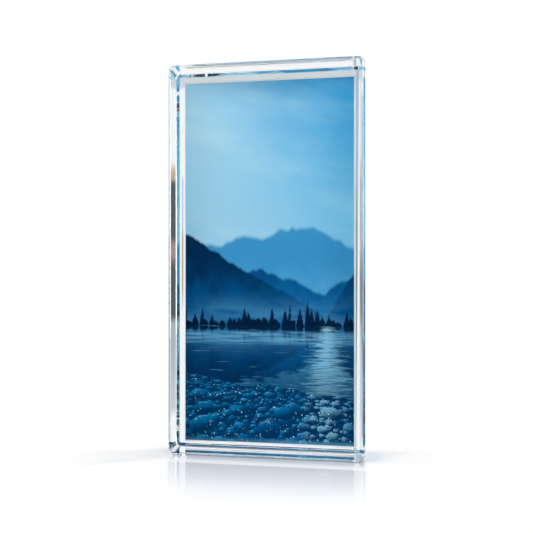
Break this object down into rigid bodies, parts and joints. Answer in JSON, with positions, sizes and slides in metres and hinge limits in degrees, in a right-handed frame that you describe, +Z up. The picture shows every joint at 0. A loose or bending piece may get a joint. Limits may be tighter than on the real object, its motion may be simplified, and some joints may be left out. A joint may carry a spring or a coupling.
{
  "type": "crystal photo plaque",
  "caption": "Upright block of clear optical crystal with polished edges, rounded in front and bevelled behind, and a picture bonded to its back, standing on its flat lower face.",
  "frame": {"origin": "Centre of the base of the whole plaque, on the surface it stands on.", "axes": "+Z up along the long side; the picture faces -Y; +X is to the right as the picture is looked at."},
  "size_m": [0.08, 0.0226, 0.16],
  "materials": {
    "crystal": "polished clear optical crystal",
    "clear_adhesive": "clear cured adhesive",
    "printed_film": "colour print on film, blue tones, narrow white border",
    "white_vinyl": "matt white sheet"
  },
  "bodies": {
    "root": {"crystal_block": "crystal", "optical_adhesive": "clear_adhesive", "photo_print": "printed_film", "backing_adhesive": "clear_adhesive", "white_backing": "white_vinyl"}
  },
  "joints": []
}
